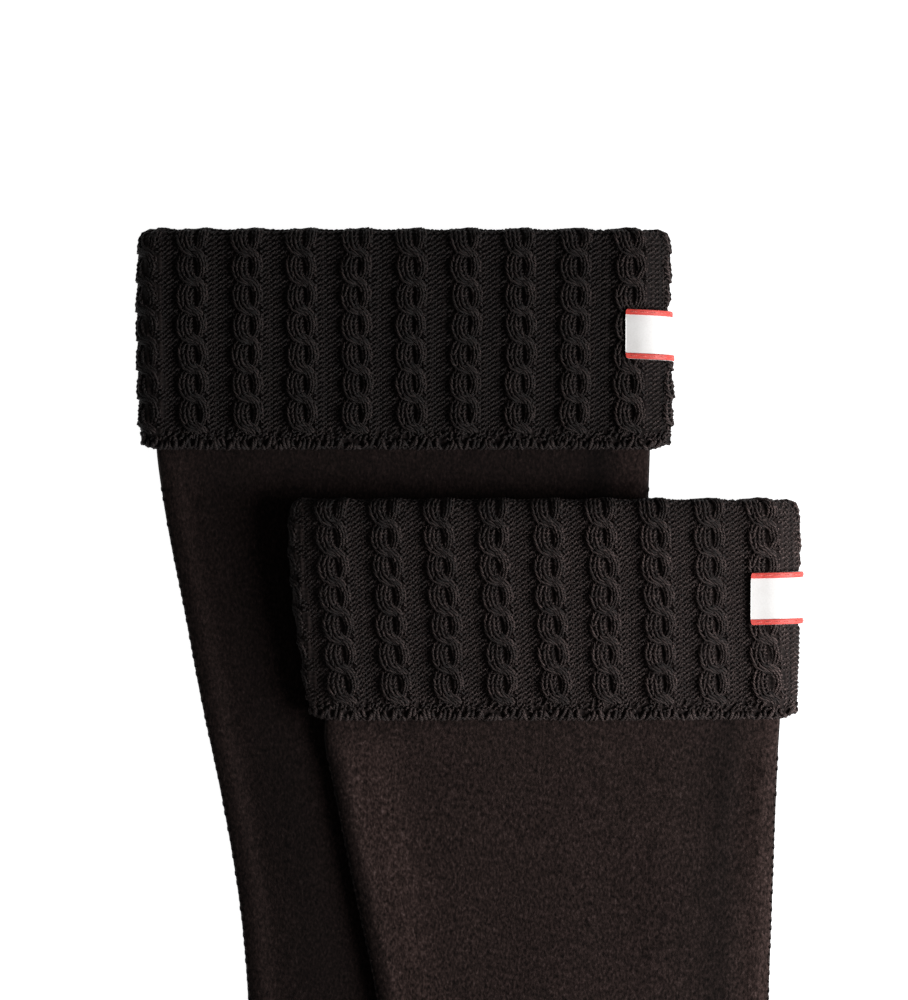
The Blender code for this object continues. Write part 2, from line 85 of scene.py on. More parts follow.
FOOT_ROWS = (
    # back_x, back_down, front_x, front_down
    (-57, 322, 82.2, 300), (-61, 345, 84, 309.5), (-62, 366, 88, 318.5), (-58.5, 386, 94.5, 326.5),
    (-49, 402, 103, 333), (-33, 412.5, 114, 338), (-8, 416, 127, 342), (28, 416, 142, 346),
    (68, 416, 156.5, 351), (108, 416, 168.5, 358), (141, 415, 177, 367), (164, 410.5, 182, 377.5),
    (177, 400.5, 184, 388),
)
SOCK_A = SimpleNamespace(
    name="sock_a", fleece_slot="fleece_a", knit_slot="knit_a",
    datum=(0, 0),
    leg_rows=(
        # down, calf_x, shin_x
        (MOUTH_TOP, -87.6, 88.2), (20, -88.2, 88.6), (50, -88.9, 88.8), (80, -89, 88.6), (88, -88.2, 88.4),
        (98, -86.8, 88.1), (116, -83.6, 87.7), (134, -79.9, 87.2), (170, -73.1, 86.1), (206, -65.5, 84.9),
        (242, -59.4, 83.7), (266, -56.9, 82.8), (288, -55.8, 82),
    ),
    cuff_rows=(
        # down, left_x, right_x, cable_x, pitch
        (0, -95.8, 95.8, -75.6, 19.65), (30, -96.5, 95.4, -75.3, 19.6), (60, -96.1, 96.6, -75, 19.5),
        (80, -95.2, 96, -74.8, 19.45),
    ),
    last_cable_in=1.3,
    # The label's place, how much taller than the part's it is, and how it is sewn on askew.
    label_top=28.8, label_x=79.9, label_taller=0.15,
    label_tilt=-0.9, label_pivot=0.05, label_lower=1,
    # Painted light and shade on the yarn: by the share of the way across and by the mm below the fold; then
    # the tone between cables.
    painted_light_across=((0, 0.74), (0.2, 0.86), (0.55, 0.87), (0.75, 1), (0.88, 1.05), (0.98, 1.85)),
    painted_shade_top=((0, 0.78), (3, 0.82), (8, 1)),
    purl_tone=0.86,
    # Soft troughs in the fleece: (x, down) of both ends, depth, half-width.
    troughs=(((-60, 168), (-48, 250), 0.35, 9), ((20, 108), (44, 150), 0.25, 10),
             ((-30, 270), (-42, 330), 0.55, 11), ((40, 296), (88, 352), 0.7, 12),
             ((70, 300), (118, 340), 0.45, 8)),
    # Bands of painted light and shade on the nap, from the calf edge and then from the shin edge: mm in,
    # half-width, amount.
    painted_nap_bands=(((5, 10, 0.55), (23, 6, -0.15)), ((5, 7.5, 0.85), (18.5, 5.5, -0.56))),
    fleece_look=(0.0044, 1.66, 1.4),  # level, share of red, spread
    yarn_look=(0.0075, 1.46),  # level, share of red
)
SOCK_B = SimpleNamespace(
    name="sock_b", fleece_slot="fleece_b", knit_slot="knit_b",
    datum=B_OFFSET,
    leg_rows=(
        (MOUTH_TOP, -84.2, 84.8), (20, -83.8, 85.2), (50, -81.6, 85.3), (80, -78.6, 85), (88, -78.8, 84.6),
        (98, -76.9, 84.2), (116, -73.3, 83.4), (143, -67.7, 82.4), (170, -61.9, 81.4), (197, -57, 80.5),
        (224, -53.6, 80), (242, -52.3, 79.8), (264, -51.8, 79.8), (286, -52.5, 80.4),
    ),
    cuff_rows=(
        (0, -92, 91.6, -76.4, 19.3), (20, -92, 92, -75.4, 19.25), (40, -90.3, 92, -73.6, 19.11),
        (60, -87.4, 91.8, -72.2, 19), (80, -84.4, 91, -71, 18.9),
    ),
    last_cable_in=0,
    label_top=27, label_x=74.2, label_taller=1.15,
    label_tilt=0.5, label_pivot=0.35, label_lower=0.25,
    painted_light_across=((0, 0.5), (0.1, 0.66), (0.3, 0.75), (0.62, 1.05), (0.86, 0.93), (0.98, 1.6)),
    painted_shade_top=((0, 0.58), (4, 0.64), (10, 1)),
    purl_tone=1,
    troughs=(((72.9, 84), (66, 150), 0.55, 3.2), ((-48, 84), (-40, 170), 0.25, 7),
             ((-30, 262), (-44, 322), 0.5, 10), ((36, 300), (92, 356), 0.65, 13),
             ((78, 300), (120, 342), 0.4, 7)),
    painted_nap_bands=(((0, 4.5, -0.45), (14, 9, 0.85), (26, 16, 0.2), (60, 30, 0.07)),
               ((3, 7.5, 0.55), (19, 7, -0.44), (30, 9, -0.14))),
    fleece_look=(0.0088, 1.62, 1.2),
    yarn_look=(0.015, 1.44),
)


# ---- small functions, all on arrays ----
def smooth(t):
    t = clip(t, 0, 1)
    return t * t * (3 - 2 * t)


def rise(t):
    """A quarter circle, from 0 up to 1."""
    t = clip(t, 0, 1)
    return sqrt(1 - (1 - t) ** 2)


def columns(rows, down, *wanted):
    """Columns of a table at a distance down, which is in its first one."""
    table = array(rows)
    return [interp(down, table[:, 0], table[:, index]) for index in wanted]


def graded(value, steps):
    return interp(value, *zip(*steps))


def bell(value, middle, half):
    return exp(-((value - middle) / half) ** 2)


def span(count, end=1):
    """Even steps from 0 to the end, as a row."""
    return linspace(0, end, count)[None, :]


def between(table, i, j):
    """A table's value between its rows and columns, kept just inside its last cell."""
    i = clip(i, 0, table.shape[0] - 1.001)
    j = clip(j, 0, table.shape[1] - 1.001)
    a, b = i.astype(int), j.astype(int)
    u, w = i - a, j - b
    low = table[a, b] * (1 - u) + table[a + 1, b] * u
    return low * (1 - w) + (table[a, b + 1] * (1 - u) + table[a + 1, b + 1] * u) * w


def hermite(rows, steps):
    """A smooth line of points through the rows of a table, steps to each gap."""
    p = array(rows, float)
    # The small number keeps two rows with the same start apart.
    step = np.r_[0, cumsum(np.linalg.norm(np.diff(p[:, :2], axis=0), axis=1) + 1e-9)]
    slope = np.gradient(p, step, axis=0)
    out = []
    for i in range(len(p) - 1):
        t = arange(steps)[:, None] / steps
        h = step[i + 1] - step[i]
        a = (1 + 2 * t) * (1 - t) ** 2 * p[i] + t * (1 - t) ** 2 * h * slope[i]
        out.append(a + t * t * (3 - 2 * t) * p[i + 1] + t * t * (t - 1) * h * slope[i + 1])
    return vstack(out + [p[-1:]])


def cross_lines(sock, steps=6):
    """The cross-lines of a leg and foot, on smooth edges: back x, back down, front x, front down."""
    leg = [(calf, down, shin, down) for down, calf, shin in sock.leg_rows]
    return hermite(leg + list(FOOT_ROWS), steps)


def seam_line(sock, steps=6):
    """Down the calf and the sole to the toe, and back up the instep and the shin."""
    lines = cross_lines(sock, steps)
    return vstack([lines[:, :2], lines[::-1, 2:]])


TINY = 1e-12  # keeps a length of nothing from being divided by


def distance(x, down, line):
    """From points to a line of joined segments."""
    shape = x.shape
    x, down = x.ravel(), down.ravel()
    best = np.full(x.shape, np.inf)
    for (ax, ay), (bx, by) in zip(line[:-1], line[1:]):
        ux, uy = bx - ax, by - ay
        t = clip(((x - ax) * ux + (down - ay) * uy) / max(ux * ux + uy * uy, TINY), 0, 1)
        best = minimum(best, (x - ax - t * ux) ** 2 + (down - ay - t * uy) ** 2)
    return sqrt(best).reshape(shape)


def inside(x, down, line):
    """Whether points lie within a line that is closed from its end to its start."""
    found = np.zeros(x.shape, bool)
    ends = vstack([line, line[:1]])
    for (ax, ay), (bx, by) in zip(ends[:-1], ends[1:]):
        if ay != by:
            found ^= ((ay > down) != (by > down)) & (x < ax + (down - ay) * (bx - ax) / (by - ay))
    return found


# ---- how a sock lies, as in the part ----
GROUND_STEP = 2
GROUND_X = arange(-60, 252, GROUND_STEP)  # in sock A's plan
GROUND_DOWN = arange(84, 524, GROUND_STEP)


def lift(down):
    return (KNIT + SEAM_GAP) * (1 - smooth((down - CUFF_DEPTH) / SETTLE_LENGTH))


def hollow(down, edge):
    open_mouth = 1 - smooth((down - MOUTH_DEPTH) / MOUTH_TAPER)
    crown = CROWN * smooth(edge / CROWN_REACH) * smooth((down - CUFF_DEPTH) / CUFF_DEPTH)
    return HOLLOW + crown + (MOUTH_HOLLOW - HOLLOW) * open_mouth


def thickness(down, edge):
    return 2 * FLEECE + hollow(down, edge)


def ground_table():
    """The top of sock A, and how sock B drapes down beside it."""
    seam = seam_line(SOCK_A, 2)
    x, down = meshgrid(GROUND_X, GROUND_DOWN, indexing="ij")
    edge = distance(x, down, seam)
    within = inside(x, down, seam)
    top = lift(down) + thickness(down, where(within, edge, 0)) + DRAPE_CLEARANCE
    return where(within, top, top * (1 - smooth((edge - DRAPE_PLATEAU) / DRAPE_LENGTH)))


GROUND = ground_table()


def ground(sock, x, down):
    """Height of what the sock lies on: the floor, or for sock B the table above."""
    if sock is SOCK_A:
        return np.zeros_like(x)
    return between(GROUND, (x + B_OFFSET[0] - GROUND_X[0]) / GROUND_STEP,
                   (down - B_OFFSET[1] - GROUND_DOWN[0]) / GROUND_STEP)


# The frame's place of sock A's plan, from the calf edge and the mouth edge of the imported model.
LOW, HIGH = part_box("sock_a_upper_panel")
CALF_MOST = min(row[1] for row in SOCK_A.leg_rows)
ORIGIN = (LOW[0] * METRE - CALF_MOST, HIGH[1] * METRE + MOUTH_TOP)


def world(sock, x, down, z):
    """Metres in the frame, from a sock's plan and the height above what it lies on."""
    dx, dy = sock.datum
    place = [x + dx + ORIGIN[0], ORIGIN[1] + dy - down, z + ground(sock, x, down)]
    return stack(place, axis=-1) / METRE


# ---- the knit's own surface ----
STRAIGHT = CUFF_DEPTH - FOLD_TOP - FOLD_ROUND  # v where the outside ends and the fold starts
OVER = pi * FOLD_ROUND  # the length of the fold
RATIOS = linspace(0.2, 1.4, 49)  # of a side's height to its width
SHARES = linspace(0, 1, 65)  # of the way round a quarter
# The cast-off edge draws up towards both sides, which rounds the corners.
HEM_DRAWN, HEM_MOST, HEM_TALL = 2, 1.2, 14
HEM_FROM, HEM_OVER = 6, 8
# Past the middle of a side the sock's weight flattens the relief. The calf side is flatter from here on.
UNDER_FLAT, CALF_FLAT, CALF_TURN = 0.85, 0.45, 0.7
# At its sides the knit is full out to here, so that no gap shows between the strands.
SIDE_FILL, CALF_FILL, FILL_TURN = 1.9, 0.6, 0.45
FILL_END, FILL_FADE = 4, 5  # before the fold, and over how much


def turn_table():
    """Turn up from the side at each share of a quarter ellipse's length, for each ratio tall / wide."""
    t = linspace(0, pi / 2, 400)
    rows = []
    for ratio in RATIOS:
        pace = hypot(sin(t), ratio * cos(t))
        length = np.r_[0, cumsum((pace[1:] + pace[:-1]) / 2)]
        rows.append(interp(SHARES, length / length[-1], t))
    return array(rows)


TURNS = turn_table()


def arc_turn(share, ratio):
    return between(TURNS, (ratio - RATIOS[0]) / (RATIOS[1] - RATIOS[0]), share * (len(SHARES) - 1))


def quarter(wide, tall):
    """Length of a quarter ellipse, near enough."""
    return pi / 4 * (3 * (wide + tall) - sqrt((3 * wide + tall) * (wide + 3 * tall)))


def outside_box(sock, down):
    """Left, right, low, high and the width of the rounded sides, of the turned-down knit."""
    left, right = columns(sock.cuff_rows, down, 1, 2)
    top = lift(down) + thickness(down, 0) + SLACK + KNIT
    return left + SIDE_RELIEF, right - SIDE_RELIEF, 0 * down, top, SIDE_ROUND + 0 * down


def mouth_box(sock, down):
    """The same, of the knit inside the mouth."""
    calf, shin = columns(sock.leg_rows, down, 1, 2)
    clear = LIP + EASE + SEAM_GAP + KNIT_INSIDE
    half = hollow(down, 0) / 2 - SEAM_GAP - KNIT_INSIDE
    middle = lift(down) + thickness(down, 0) / 2
    wide = EDGE_ROUND * thickness(down, 0) / 2 - KNIT_INSIDE
    return calf + clear, shin - clear, middle - half, middle + half, wide


def past_face(sock, s, down):
    """How far s is past the flat part of the face, towards either side."""
    left, right, _, _, wide = outside_box(sock, down)
    return maximum(s - right + wide, left + wide - s)


def knit_surface(sock, s, v, h):
    """Points in the frame of places on the knit, and the outward directions there."""
    beside = past_face(sock, s, clip(CUFF_DEPTH - v, 0, CUFF_DEPTH))
    drawn = HEM_DRAWN * smooth((beside - HEM_FROM) / HEM_OVER)
    v = v + drawn * clip(1 - v / HEM_TALL, 0, HEM_MOST)
    turn = clip((v - STRAIGHT) / FOLD_ROUND, 0, pi)
    past = maximum(v - STRAIGHT - OVER, 0)
    down = where(v <= STRAIGHT, CUFF_DEPTH - v, FOLD_TOP + FOLD_ROUND * (1 - sin(turn)) + past)
    share = 0.5 + 0.5 * cos(turn)
    outer, inner = outside_box(sock, down), mouth_box(sock, down)
    left, right, low, high, wide = (b + (a - b) * share for a, b in zip(outer, inner))
    tall, middle = (high - low) / 2, (high + low) / 2
    # The stations are found on the outer wall, so a wale keeps its place over the fold.
    o_left, o_right, o_low, o_high, o_wide = outer
    away = where(s > 0, 1, -1)
    flat_end = where(s > 0, o_right - o_wide, -(o_left + o_wide))
    arc = (s * away - flat_end) / quarter(o_wide, (o_high - o_low) / 2)
    on_face, below = arc <= 0, arc > 1
    angle = arc_turn(clip(where(below, arc - 1, 1 - arc), 0, 1), tall / wide)
    up = where(below, -1, 1)
    x_side = where(away > 0, right - wide, left + wide) + away * wide * cos(angle)
    n_x, n_z = away * cos(angle) / wide, up * sin(angle) / tall
    size = hypot(n_x, n_z)
    face_share = (s - o_left - o_wide) / (o_right - o_left - 2 * o_wide)
    x = where(on_face, left + wide + face_share * (right - left - 2 * wide), x_side)
    z = where(on_face, high, middle + up * tall * sin(angle))
    n_x, n_z = where(on_face, 0, n_x / size), where(on_face, 1, n_z / size)
    out = stack([n_x * cos(turn), sin(turn), n_z * cos(turn)], axis=-1)
    h = where(h > 0, h * (1 - UNDER_FLAT * smooth(-FLATTEN * n_z)), h)
    h = where((h > 0) & (s < 0), h * (1 - CALF_FLAT * smooth(1 - n_z / CALF_TURN)), h)
    full = SIDE_FILL * where(s < 0, CALF_FILL, 1) * bell(n_z, 0, FILL_TURN)
    full = full * pressed(sock, s, v) * (1 - smooth((v - STRAIGHT + FILL_END) / FILL_FADE))
    h = where(h > 0, maximum(h, full), h)
    return world(sock, x + out[..., 0] * h, down - out[..., 1] * h, z + out[..., 2] * h), out


def label_end(sock):
    """s where the label ends, under the middle of the side."""
    down = sock.label_top + LABEL_HEIGHT / 2
    _, right, low, high, wide = outside_box(sock, down)
    return float(right - wide + quarter(wide, (high - low) / 2) + LABEL_UNDER)


def pressed(sock, s, v):
    """The share of the relief that is left: all of it but under the label."""
    low = CUFF_DEPTH - sock.label_top - LABEL_HEIGHT
    s, v = np.broadcast_arrays(s, v)
    past = [sock.label_x - s, s - label_end(sock), low - v, v - low - LABEL_HEIGHT, 0 * s]
    return PRESSED_RELIEF + (1 - PRESSED_RELIEF) * smooth(np.maximum.reduce(past) / PRESS_MARGIN)


# ---- meshes from arrays ----
FLOOR_SOFT = 0.0003  # metres: what lies on the floor is pressed flat within this height of it


def make_mesh(name, points, quads, material, tone=None):
    mesh = bpy.data.meshes.new(name)
    points = np.ascontiguousarray(points, np.float32)
    quads = np.ascontiguousarray(quads.reshape(-1, 4), np.int32)
    mesh.vertices.add(len(points))
    mesh.vertices.foreach_set("co", points.ravel())
    mesh.loops.add(quads.size)
    mesh.loops.foreach_set("vertex_index", quads.ravel())
    mesh.polygons.add(len(quads))
    mesh.polygons.foreach_set("loop_start", arange(0, quads.size, 4, dtype=np.int32))
    mesh.polygons.foreach_set("loop_total", np.full(len(quads), 4, np.int32))
    mesh.update(calc_edges=True)
    mesh.shade_smooth()
    if tone is not None:
        layer = mesh.color_attributes.new("strand", "FLOAT_COLOR", "POINT")
        rgba = np.ones((len(points), 4), np.float32)
        rgba[:, :3] = tone.reshape(-1, 1)
        layer.data.foreach_set("color", rgba.ravel())
    mesh.materials.append(material)
    made = bpy.data.objects.new(name, mesh)
    bpy.context.scene.collection.objects.link(made)
    return made


def make_piece(name, points, quads, material, tone=None):
    """A mesh of the pair itself, which rests on the floor and rides on its one body."""
    points = array(points, np.float64).reshape(-1, 3)
    low = minimum(points[:, 2], FLOOR_SOFT)
    points[:, 2] += FLOOR_SOFT * exp(low / FLOOR_SOFT - 1) - low
    made = make_mesh(name, points, quads, material, tone)
    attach(made, "root")
    return made


def grid_quads(rows, columns, wrap=False, close=False):
    """Quads over a grid of points. Its columns may wrap round, and its last row may join the first."""
    i, j = meshgrid(arange(rows if close else rows - 1), arange(columns if wrap else columns - 1),
                       indexing="ij")
    below, beside = (i + 1) % rows, (j + 1) % columns
    quads = [i * columns + j, i * columns + beside, below * columns + beside, below * columns + j]
    return stack(quads, axis=-1).reshape(-1, 4)


def tube_piece(name, yarn, sides, material):
    """Tubes round lines of points (line, step, xyz): centres, outward directions, radii and tones."""
    centre, out, radius, tone = yarn
    tangent = np.gradient(centre, axis=1)
    tangent /= np.linalg.norm(tangent, axis=-1, keepdims=True) + TINY
    side = np.cross(tangent, out)
    side /= np.linalg.norm(side, axis=-1, keepdims=True) + TINY
    normal = np.cross(side, tangent)
    lines, steps = centre.shape[:2]
    radius = np.broadcast_to(radius, (lines, steps))[..., None, None] / METRE
    angle = (arange(sides) + 0.5) * 2 * pi / sides
    ring = cos(angle)[:, None] * normal[:, :, None, :] + sin(angle)[:, None] * side[:, :, None, :]
    points = centre[:, :, None, :] + radius * ring
    quads = grid_quads(steps, sides, wrap=True) + (arange(lines) * steps * sides)[:, None, None]
    if tone is not None:
        tone = np.broadcast_to(tone[..., None], points.shape[:3])
    return make_piece(name, points, quads, material, tone)


# ---- the knit, stitch by stitch ----
ROWS_PER_CROSSING = 6
ROW = CROSSING_PITCH / ROWS_PER_CROSSING
FIRST_CABLE, LAST_CABLE = -1, 9  # these two run along the sides
FIRST_CABLE_IN = 2.6  # how much further onto the face the first one lies
CABLE_START = 4.6
CABLE_HALF = 4.9
TOP_V = STRAIGHT + 0.78 * OVER  # where the cables end, past the fold
TOP_MORE = 4  # and the rows between them go on
NOISE_WEIGHTS, NOISE_SCALE = (12.9898, 78.233, 37.719), 43758.5453
# A strand is two wales wide. It swings out slowly and steps across quickly.
STRAND_WALES, STRAND_WALE = 2, 2.65
STRAND_SWING, STRAND_STEP, STEP_SHARP = 1.6, 1.4, 6.5
SIDE_BY_SIDE, OVER_HIGHER, UNDER_LOWER = 0.82, 0.18, 0.55  # heights, by the crest
# The relief grows from the cast-off edge, and goes again before and over the fold.
GROW_BEFORE, GROW_OVER = 1.2, 3.4
FOLD_LOSS, FOLD_LOSS_OVER = 0.25, 6
# The ground between two cables: where it starts and ends, and its valley, highest on the left.
GROUND_LEFT, GROUND_RIGHT = 4.2, 5.2
GROUND_FALL, GROUND_BACK, GROUND_DEEP = 2.2, 1, 0.5


def noise(*seeds):
    """Even numbers from 0 to 1 that depend only on the seeds."""
    total = sum(np.asarray(seed, float) * weight for seed, weight in zip(seeds, NOISE_WEIGHTS))
    value = sin(total) * NOISE_SCALE
    return value - floor(value)


def uneven(amount, *seeds):
    return amount * (noise(*seeds) - 0.5)


def every(*choices):
    """Every combination of the choices, each as a column."""
    return (a.ravel()[:, None] for a in meshgrid(*choices, indexing="ij"))


def row_numbers(top):
    """The rows from the start of the cables up to a height, counted from the first crossing."""
    return arange(ceil((CABLE_START - FIRST_CROSSING) / ROW), int((top - FIRST_CROSSING) / ROW) + 1)


def column_middle(sock, number, v):
    """s of a cable's middle, which wanders a little."""
    first, pitch = columns(sock.cuff_rows, maximum(CUFF_DEPTH - v, 0), 3, 4)
    drift = 0.25 * sin(v / 9 + 1.7 * number) + 0.18 * sin(v / 4.1 + 2.9 * number)
    drift = drift + FIRST_CABLE_IN * (number == FIRST_CABLE) - sock.last_cable_in * (number == LAST_CABLE)
    return first + number * pitch + drift


def strand_path(way, v):
    """A strand's offset from its cable's middle and its height. The strand that comes from the left
    crosses over on its way down, and the next time the other does."""
    turns = (v - FIRST_CROSSING) / CROSSING_PITCH
    swing = sin(pi * turns)
    crossing = way * cos(pi * turns)
    offset = -way * (STRAND_STEP * np.tanh(STEP_SHARP * swing) + STRAND_SWING * swing)
    over, under = maximum(crossing, 0) ** 2, maximum(-crossing, 0) ** 2
    return offset, CREST * (SIDE_BY_SIDE + OVER_HIGHER * over - UNDER_LOWER * under)


def relief(sock, s, v):
    """The share of the full relief at a place."""
    grown = smooth((v - CABLE_START + GROW_BEFORE) / GROW_OVER)
    grown = grown * (1 - smooth((v - STRAIGHT - 0.1 * OVER) / (0.6 * OVER)))
    grown = grown * (1 - FOLD_LOSS * smooth((v - STRAIGHT + FOLD_LOSS_OVER) / FOLD_LOSS_OVER))
    return grown * pressed(sock, s, v)


def valley(share):
    """The ground's height on its way from one cable, 0, to the next, 1."""
    return GROUND_FALL * (1 - share) ** 2 + GROUND_BACK * share ** 2 - GROUND_DEEP


CABLE_YARN, CABLE_LOOP = 0.45, 0.7  # the yarn's radius, and a loop's height by the row's
AHEAD = 0.05  # how far on a strand's slope is read
LEAN, DRAWN_CLOSER = 0.6, 0.3  # of the wales where their strand crosses
# The strand on the left of a cable lies flat and wide, and the one on the right is rolled away under it.
FLAT_WIDE, ROLLED_LESS = 1.14, 0.42
FLAT_LEFT, ROLLED_RIGHT = 0.1, 0.6
FLAT_DROP, ROLLED_DROP = 0.07, 0.27
STRAND_PROUD, PLAIN_PROUD = 0.7, 0.4  # over its height in full relief, and with none
LOOP_DEPTH, PLAIN_DEPTH, RELIEF_DEPTH = 0.33, 0.45, 0.55
# Painted highlight on the outermost legs of both strands, and painted shade on the wales that cross between
# two links.
ROLLED_RIM_HIGHLIGHT, FLAT_RIM_HIGHLIGHT, RIM_FROM = 0.7, 0.4, 0.2
LINK_TONE, DRAWN_PAINTED_SHADE, DRAWN_WIDTH = 1.08, 0.36, 0.42


def cable_yarn(sock):
    """Every row of every strand as one line of loops over its wales, with the loops' legs in front."""
    t = span(8 * STRAND_WALES + 1, 2 * pi * STRAND_WALES)
    number, way, row = every(arange(FIRST_CABLE, LAST_CABLE + 1), (-1, 1), row_numbers(TOP_V))
    v_row = FIRST_CROSSING + (row + 0.5) * ROW + uneven(0.18, number, row, way)
    loop = t / (2 * pi)
    across = loop + 0.05 * sin(2 * t) - 0.5 * STRAND_WALES
    leg = floor(2 * loop)
    v0 = v_row + CABLE_LOOP * ROW * cos(t) + uneven(0.2, leg, row, number)
    offset, height = strand_path(way, v0)
    slope = (strand_path(way, v0 + AHEAD)[0] - offset) / AHEAD
    squeeze = 1 - DRAWN_CLOSER * slope ** 2 / (1 + slope ** 2)
    slope = LEAN * slope
    size = hypot(slope, 1)
    rolled = smooth(0.5 + 0.5 * offset / (STRAND_SWING + STRAND_STEP))
    x_across = across * STRAND_WALE * squeeze * (FLAT_WIDE - ROLLED_LESS * rolled)
    offset = offset - FLAT_LEFT + ROLLED_RIGHT * rolled
    drop = (FLAT_DROP + ROLLED_DROP * rolled) * x_across * x_across
    s = column_middle(sock, number, v0) + offset + x_across / size + uneven(0.3, row, leg, number)
    v = v0 - x_across * slope / size
    depth = -LOOP_DEPTH * cos(2 * t) + uneven(0.3, row, number, leg)
    up = relief(sock, s, v)
    h = (height + STRAND_PROUD - drop - CABLE_YARN) * up + PLAIN_PROUD * (1 - up)
    h = h + depth * (PLAIN_DEPTH + RELIEF_DEPTH * up)
    centre, out = knit_surface(sock, s, v, h)
    radius = CABLE_YARN * (0.94 - 0.12 * cos(2 * t))
    radius = radius * (0.86 + 0.28 * noise(number, row, leg + way * 3))
    # Painted highlight on the outermost legs, and painted shade where the strands cross.
    rim = ROLLED_RIM_HIGHLIGHT * rolled * smooth(across - RIM_FROM)
    rim = rim + FLAT_RIM_HIGHLIGHT * (1 - rolled) * smooth(-across - RIM_FROM)
    drawn = bell(sin(pi * (v0 - FIRST_CROSSING) / CROSSING_PITCH), 0, DRAWN_WIDTH)
    tone = (0.5 + 0.9 * noise(number * 3.1, row, way + leg)) * (1 + rim)
    return centre, out, radius, tone * (LINK_TONE - DRAWN_PAINTED_SHADE * drawn)


PURL_YARN, PURL_LOOP, PURL_WALES = 0.37, 0.74, 3
PURL_LEAN, PURL_SLANT, PURL_DEPTH = 0.34, 0.6, 0.4
WALL_RISE = 0.1  # the yarn and the wall behind it lie this far out where there is no relief


def purl_yarn(sock):
    """The rows between the cables, with their loops' heads and feet to the front."""
    t = span(9 * PURL_WALES + 1, 2 * pi * PURL_WALES)
    number, row = every(arange(FIRST_CABLE - 1, LAST_CABLE + 1), row_numbers(TOP_V + TOP_MORE))
    v_row = FIRST_CROSSING + (row + 0.5) * ROW + uneven(0.24, number, row)
    loop = t / (2 * pi)
    half_loop = floor(loop * 2)
    share = (loop + 0.115 * sin(2 * t)) / PURL_WALES
    left = column_middle(sock, number, v_row) + GROUND_LEFT
    right = column_middle(sock, number + 1, v_row) - GROUND_RIGHT
    s = left + share * (right - left) + uneven(0.2, number, half_loop, row)
    v = v_row + PURL_LOOP * ROW * cos(t) + PURL_LEAN * sin(2 * t) + PURL_SLANT * (share - 0.5)
    base = valley(share) * relief(sock, s, v)
    bump = PURL_DEPTH * cos(2 * t) + uneven(0.12, row, half_loop, number)
    centre, out = knit_surface(sock, s, v, WALL_RISE + base + bump)
    radius = PURL_YARN * (1 + 0.12 * cos(2 * t)) * (0.9 + 0.2 * noise(number, row, half_loop))
    return centre, out, radius, sock.purl_tone * (0.7 + 0.6 * noise(number, row * 1.7, floor(loop)))


HEM_REACH = 112  # how far round each side the cast-off edge is made
HEM_LOOP, CHAIN_LOOP = 1.55, 1.7  # how far apart its loops and the chain's are
LEFT_SHARE = 0.42  # of the loops


def hem_yarn(sock):
    """The cast-off edge: loops of uneven size that lean both ways over a row of small gaps."""
    k = arange(int(2 * HEM_REACH / HEM_LOOP))[:, None]
    t = span(9)
    lean = where(noise(k, 17) > LEFT_SHARE, 1, -1) * (0.3 + 1.5 * noise(k, 3))
    tall = 1.8 + 2.8 * noise(k, 5) ** 1.5
    s = -HEM_REACH + k * HEM_LOOP + uneven(1.3, k, 7)
    s = s + lean * (t - 0.5) + 0.35 * sin(pi * t) * lean
    v = -0.1 + 1.5 * noise(k, 13) ** 2 + tall * t
    h = 0.25 + (0.4 + 0.5 * noise(k, 11)) * sin(pi * clip(t * 1.05, 0, 1)) + 0.12 * lean
    centre, out = knit_surface(sock, s, v, h)
    radius = (0.54 + 0.26 * noise(k, 9)) * (1 - 0.35 * abs(2 * t - 1) ** 3)
    return centre, out, radius, 0.5 + 0.9 * noise(k, 11)


def edge_chain(sock):
    """Short slanting loops: a chain along the very edge, and two loose rows between it and the ground."""
    k = arange(3 * int(2 * HEM_REACH / CHAIN_LOOP))[:, None]
    upper = (k % 3).astype(float)
    loose = minimum(upper, 1)
    t = span(7)
    turned = loose * (-0.3 + 1.7 * noise(k, 12))
    s = -HEM_REACH + (k // 3 + 0.4 * upper) * CHAIN_LOOP + uneven(0.5 + 0.9 * loose, k, 2)
    s = s + (1.8 - 0.6 * loose) * cos(turned) * t
    v = 0.25 + 2 * loose + 1.25 * upper * loose + (0.7 - 0.3 * loose) * sin(pi * t)
    v = v + uneven(0.6 + 0.5 * loose, k, 4) + 1.4 * sin(turned) * t
    h = 0.1 + 0.5 * sin(pi * t) + loose * (0.15 + 0.55 * noise(k, 14))
    centre, out = knit_surface(sock, s, v, h)
    return centre, out, 0.42 + uneven(0.16, k, 6), 0.5 + 0.8 * noise(k, 8)


# Painted shade: eased on the calf side near the hem, on the fold's top by the share across, and a dark line
# beside the shin rib.
SHADE_EASING, SHADE_EASING_FROM, SHADE_EASING_OVER = 0.8, 62, 12  # the dark side is lighter near the hem
TOP_SHADE_BY_SHARE = ((0.8, 1), (0.95, 0.2))  # how much the fold's dark top counts
FURROW_PAINTED_SHADE, FURROW_IN, FURROW_HALF = 0.75, 1.5, 0.7  # beside the rib at the shin side


# Painted light and shade on the cuff's yarn, as a factor on each point's tone.
def yarn_painted_light(sock, centre):
    start = world(sock, 0, 0, 0)
    x, down = (centre[..., 0] - start[0]) * METRE, (start[1] - centre[..., 1]) * METRE
    left, right = outside_box(sock, clip(down, 0, CUFF_DEPTH))[:2]
    share = (x - left) / (right - left)
    tone = graded(share, sock.painted_light_across)
    shade_eased = tone + (1 - tone) * SHADE_EASING * smooth((down - SHADE_EASING_FROM) / SHADE_EASING_OVER)
    tone = where(tone < 1, shade_eased, tone)
    tone = tone * (1 - (1 - graded(down - FOLD_TOP, sock.painted_shade_top)) * graded(share, TOP_SHADE_BY_SHARE))
    return tone * (1 - FURROW_PAINTED_SHADE * bell(right - x, FURROW_IN, FURROW_HALF))


